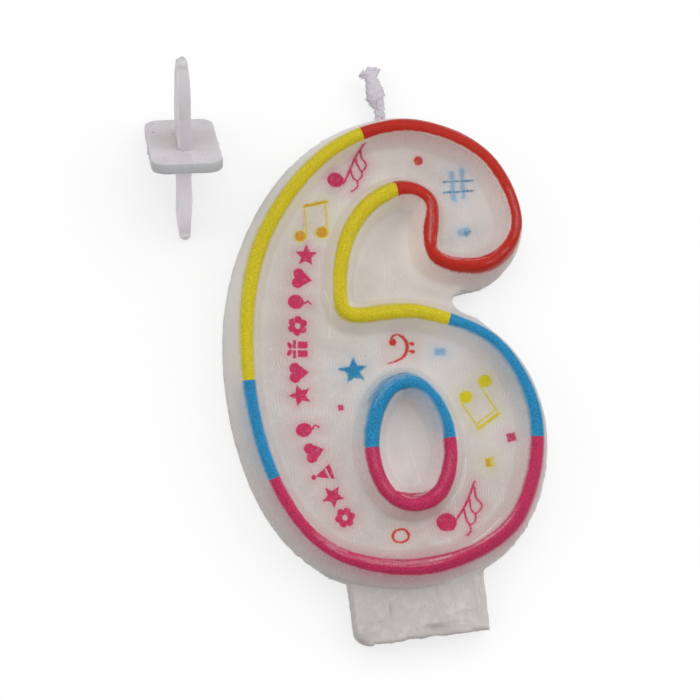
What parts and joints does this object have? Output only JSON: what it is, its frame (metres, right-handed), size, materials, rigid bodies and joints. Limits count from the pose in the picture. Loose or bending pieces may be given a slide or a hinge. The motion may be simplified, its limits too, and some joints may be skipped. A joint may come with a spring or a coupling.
{
  "type": "number candle with holder",
  "caption": "Moulded wax candle in the shape of a figure six, with a raised rim in printed colours, a cord wick and a loose plastic holder that stands it on a cake.",
  "frame": {"origin": "on the candle's flat back, on the foot's centre line and at half the figure's height", "axes": "+X to the right of the printed face, +Y towards the wick, +Z out of the printed face, up from the table"},
  "size_m": [0.0602, 0.0934, 0.0183],
  "materials": {
    "wax": "translucent warm white wax, satin",
    "wick_cotton": "braided cotton, stiff with wax",
    "print_red": "colour printed on wax, satin",
    "print_yellow": "colour printed on wax, satin",
    "print_blue": "colour printed on wax, satin",
    "print_magenta": "colour printed on wax, satin",
    "holder_plastic": "milky injection-moulded plastic, satin"
  },
  "bodies": {
    "candle": {"wax_body": "wax", "wick": "wick_cotton", "band_red_hook": "print_red", "band_yellow_inner": "print_yellow", "band_blue_right": "print_blue", "band_magenta_bowl": "print_magenta", "band_blue_left": "print_blue", "band_yellow_outer": "print_yellow", "band_blue_counter": "print_blue", "band_magenta_counter": "print_magenta"},
    "loose_holder": {"holder": "holder_plastic"}
  },
  "joints": [
    {"name": "holder_lift", "type": "slide", "parent": "candle", "child": "loose_holder", "axis": [0, 0, 1], "range_m": [0, 0.03]}
  ]
}
